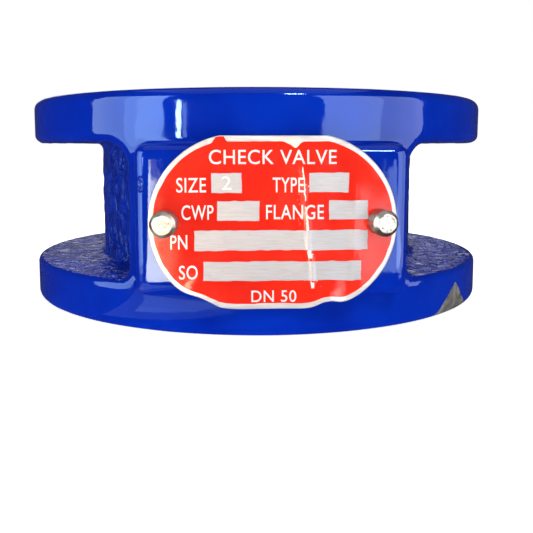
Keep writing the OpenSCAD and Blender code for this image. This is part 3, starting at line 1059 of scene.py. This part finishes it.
def rivet_steel():
    """Bright hammered steel with dirt in its pits, and painted shade round its foot, darker towards the pad.
    """
    m = Recipe("rivet_steel", Metallic=1.0)
    pits = m.patches(0.55, 4, 0.6, 0.60, 0.70)
    # Painted shade: the rivet grows darker towards the pad it sits on, broken up by noise
    foot_shade = m.spread(m.axis("Y"), PAD_Y - 2.6, PAD_Y - 0.6, 0.0, 0.85)
    dirt_and_shade = m.math("MAXIMUM", pits, m.times(m.patches(1.1, 4, 0.5, 0.35, 0.62), foot_shade))
    steel = m.mix(m.noise(1.5, 3), (0.27, 0.262, 0.235), (0.40, 0.392, 0.35))
    polish = m.spread(m.noise(0.8, 4), 0.3, 0.7, 0.32, 0.48)
    dents = m.bump(m.noise(0.6, 3), 0.05)
    return m.surface(m.mix(dirt_and_shade, steel, (0.10, 0.085, 0.06)), m.between(dirt_and_shade, polish, 0.6),
                     m.bump(m.noise(0.18, 3), 0.012, dents))


def seat_rubber():
    """Black moulded rubber with a faint bloom."""
    m = Recipe("seat_rubber", IOR=1.5)
    bloom = m.patches(6, 5, 0.6, 0.45, 0.75)
    return m.surface(m.mix(bloom, (0.012, 0.012, 0.013), (0.05, 0.05, 0.052)),
                     m.spread(m.noise(1.0, 4), 0.3, 0.7, 0.5, 0.72), m.bump(m.noise(0.35, 4), 0.03))


def plate_steel():
    """Investment-cast stainless: blasted skin on top, a turned face below."""
    m = Recipe("plate_steel", Metallic=1.0)
    x, y, cast = m.axis("X"), m.axis("Y"), m.attribute("cast")
    tone = m.patches(5, 5, 0.6)
    blasted = m.mix(tone, (0.36, 0.35, 0.33), (0.56, 0.55, 0.52))
    radius = m.math("SQRT", m.plus(m.times(x, x), m.times(y, y)))
    turning = m.math("SINE", m.times(radius, 2 * pi / 0.35))
    turned = m.mix(m.spread(turning, -1, 1), (0.52, 0.52, 0.50), (0.66, 0.65, 0.63))
    rings = m.bump(m.times(m.less(1.0, cast), turning), 0.006)
    return m.surface(m.mix(cast, turned, blasted), m.between(cast, 0.24, m.between(tone, 0.36, 0.52)),
                     m.bump(m.times(cast, m.noise(0.45, 4)), 0.06, rings))


def ground_steel(name, dark, light, roughness, grain_size, stretch=(1, 1, 1), stained=0.45, metallic=1.0):
    """Ground or drawn metal with fine lines and a few stains."""
    m = Recipe(name, Metallic=metallic)
    grain = m.spread(m.noise(grain_size, 3, 0.6, stretch=stretch), 0.3, 0.7)
    stain = m.spread(m.noise(3.0, 5, 0.65), 0.55, 0.78, 0.0, stained)
    return m.surface(m.mix(stain, m.mix(grain, dark, light), (0.24, 0.19, 0.14)),
                     m.between(grain, roughness, roughness + 0.14), m.bump(grain, 0.01))


# ---- camera, floor and light

CAMERA_DISTANCE = 166.0
CAMERA_HEIGHT = 32.8
CAMERA_AZIMUTH = radians(-3.2)
CAMERA_PITCH = radians(5.8)


def make_camera():
    data = bpy.data.cameras.new("camera")
    data.lens = 46.0
    data.shift_x = 0.019
    data.shift_y = -0.0944
    data.clip_start = 0.01
    camera = add_to_scene("camera", data)
    across = CAMERA_DISTANCE * sin(CAMERA_AZIMUTH)
    back = -CAMERA_DISTANCE * cos(CAMERA_AZIMUTH)
    camera.location = Vector((across, back, CAMERA_HEIGHT)) * MM
    camera.rotation_euler = (pi / 2 - CAMERA_PITCH, 0, CAMERA_AZIMUTH)
    bpy.context.scene.camera = camera


def make_floor():
    bpy.ops.mesh.primitive_plane_add(size=80)
    floor = bpy.context.object
    floor.name = "floor"
    m = Recipe("pale_floor", Roughness=0.7)
    m.set("Emission Strength", 0.75)
    m.set("Base Color", m.mix(m.noise(90, 3), (0.88, 0.88, 0.88), (0.90, 0.90, 0.90)))
    floor.data.materials.append(m.material)
    floor.visible_glossy = False


def make_world():
    """A bright even backdrop for the camera, nearly dark for everything else."""
    world = bpy.data.worlds.new("studio")
    world.use_nodes = True
    tree = world.node_tree
    strength = tree.nodes.new("ShaderNodeMapRange")
    strength.inputs["To Min"].default_value = 0.04
    rays = tree.nodes.new("ShaderNodeLightPath")
    tree.nodes["Background"].inputs["Color"].default_value = (1, 1, 1, 1)
    tree.links.new(rays.outputs["Is Camera Ray"], strength.inputs["Value"])
    tree.links.new(strength.outputs["Result"], tree.nodes["Background"].inputs["Strength"])
    bpy.context.scene.world = world


def area_light(name, size, radiance, colour):
    data = bpy.data.lights.new(name, "AREA")
    data.shape = "RECTANGLE"
    data.size, data.size_y = size
    data.energy = radiance * pi * size[0] * size[1]
    data.color = colour
    light = add_to_scene(name, data)
    light.visible_camera = False
    return light


def soft_panel(name, azimuth, elevation, distance, size, radiance, colour=(1, 1, 1), fill=False):
    """A soft box that faces the object. Azimuth 0 is the front, -Y, and goes towards +X.

    It is a window, which only glossy surfaces mirror, or a fill, which only lights them evenly.
    """
    panel = area_light(name, size, radiance, colour)
    panel.visible_glossy = not fill
    panel.visible_diffuse = fill
    a, e = radians(azimuth), radians(elevation)
    way = Vector((sin(a) * cos(e), -cos(a) * cos(e), sin(e)))
    panel.location = Vector((0, 0, HEIGHT / 2 * MM)) + way * distance
    panel.rotation_euler = way.to_track_quat("Z", "Y").to_euler()


def table_glow(name, start, azimuth, length, width, radiance, colour):
    """A bright strip of the table in front of the object, which the flat pad mirrors."""
    strip = area_light(name, (width, length), radiance, colour)
    strip.visible_diffuse = False
    a = radians(azimuth)
    strip.location = (start[0] + sin(a) * length / 2, start[1] - cos(a) * length / 2, 0.001)
    strip.rotation_euler = (pi, 0, a)


def make_lights():
    soft_panel("left_window", -66.5, 12.5, 1.0, (0.71, 0.87), 5.5, (0.85, 0.97, 1.0))
    soft_panel("left_sash", -57, 12.5, 0.98, (0.36, 0.84), 2.5, (0.9, 0.97, 1.0))
    soft_panel("left_sash_edge", -53, 12.5, 0.97, (0.2, 0.80), 2.5, (0.9, 0.97, 1.0))
    soft_panel("right_window", 55, 12.5, 1.0, (1.02, 0.87), 4.2, (1.0, 0.95, 0.97))
    soft_panel("right_sash", 42.5, 12.5, 0.98, (0.50, 0.84), 2.8, (1.0, 0.95, 0.97))
    soft_panel("thin_lamp", -38.5, 5, 1.0, (0.035, 0.22), 60)
    soft_panel("thin_lamp_haze", -35, 3, 1.0, (0.05, 0.10), 6)
    soft_panel("back_window", 180, 16, 1.2, (1.0, 0.35), 1.2, (0.80, 0.80, 1.0))
    soft_panel("ceiling", 0, 88, 1.3, (1.4, 1.4), 0.6)
    soft_panel("front_fill", -3, 25, 1.3, (1.5, 1.2), 1.7, fill=True)
    soft_panel("left_fill", -70, 15, 1.2, (0.9, 0.9), 2.4, fill=True)
    soft_panel("rear_fill", 180, 25, 1.3, (2.0, 1.2), 1.5, fill=True)
    sun = bpy.data.lights.new("ceiling_lamp", "SUN")
    sun.energy = 1.2
    sun.angle = radians(8)
    add_to_scene("ceiling_lamp", sun).rotation_euler = (radians(40), 0, radians(20))
    table_glow("table_left", (-0.0331, -0.096), -6.5, 1.6, 0.0256, 42, (1.0, 0.68, 0.42))
    table_glow("table_near", (-0.024, -0.058), -43, 0.03, 0.026, 1.8, (0.9, 0.95, 1.0))
    table_glow("table_near_haze", (-0.022, -0.0525), -43, 0.03, 0.034, 0.7, (0.9, 0.95, 1.0))
    table_glow("table_right", (0.068, -0.096), 14.8, 2.6, 0.08, 6, (1.0, 0.95, 1.0))


# ---- the whole scene


def build_casing():
    enamel = blue_enamel()
    build_casting(enamel)
    build_bridge(enamel)
    build_seat(seat_rubber())


def build_hinge():
    build_discs(plate_steel())
    pin = ground_steel("pin_steel", (0.50, 0.50, 0.50), (0.66, 0.66, 0.66), 0.18, 0.12, (1, 30, 1))
    build_pin("hinge_pin", PIN_LOW, PIN_HIGH, pin)
    build_pin("stop_pin", STOP_LOW, STOP_HIGH, pin)
    washer = ground_steel("washer_steel", (0.55, 0.54, 0.51), (0.74, 0.73, 0.70), 0.22, 0.25)
    washers = [end + kind + "_washer" for kind in ("_body", "_plate", "_spring") for end in ("front", "rear")]
    for node in washers + ["spring_spacer"]:
        build_ring(node, washer, PIN_R + 0.06, 0.18)


def build_plugs_and_springs():
    copper = ground_steel("seal_copper", (0.50, 0.22, 0.11), (0.72, 0.36, 0.20), 0.24, 0.4)
    for node in ("hinge_plug_seal", "stop_plug_seal"):
        build_ring(node, copper, 4.07, 0.3)
    build_plugs(ground_steel("plug_steel", (0.16, 0.155, 0.145), (0.25, 0.245, 0.23), 0.34, 0.3,
                             stained=0.5, metallic=0.4))
    build_springs(ground_steel("spring_steel", (0.42, 0.42, 0.43), (0.60, 0.60, 0.61), 0.16, 0.2))


def build_nameplate():
    build_sheet(brushed_sheet("bright_border", (0.55, 0.53, 0.51), (0.64, 0.625, 0.61), 0.3, 0.3, 0.28))
    build_enamel(red_enamel())
    build_fields(brushed_sheet("brushed_field", (0.345, 0.345, 0.36), (0.415, 0.415, 0.43), 0.16, 0.25, 0.40))
    words = brushed_sheet("word_metal", (0.60, 0.585, 0.56), (0.70, 0.69, 0.67), 0.3, 0.1, 0.3)
    sheet_piece("nameplate_words", *lettering(LABELS, 0.1), words, sharp=30)
    stamp = brushed_sheet("stamp_metal", (0.62, 0.61, 0.59), (0.72, 0.71, 0.70), 0.3, 0.1, 0.25)
    sheet_piece("nameplate_stamp", *lettering(STAMPED, 0.13), stamp, sharp=30)
    build_rivets(rivet_steel())


make_camera()
build_casing()
build_hinge()
build_plugs_and_springs()
build_nameplate()
make_floor()
make_world()
make_lights()
bpy.context.scene.view_settings.view_transform = "Standard"
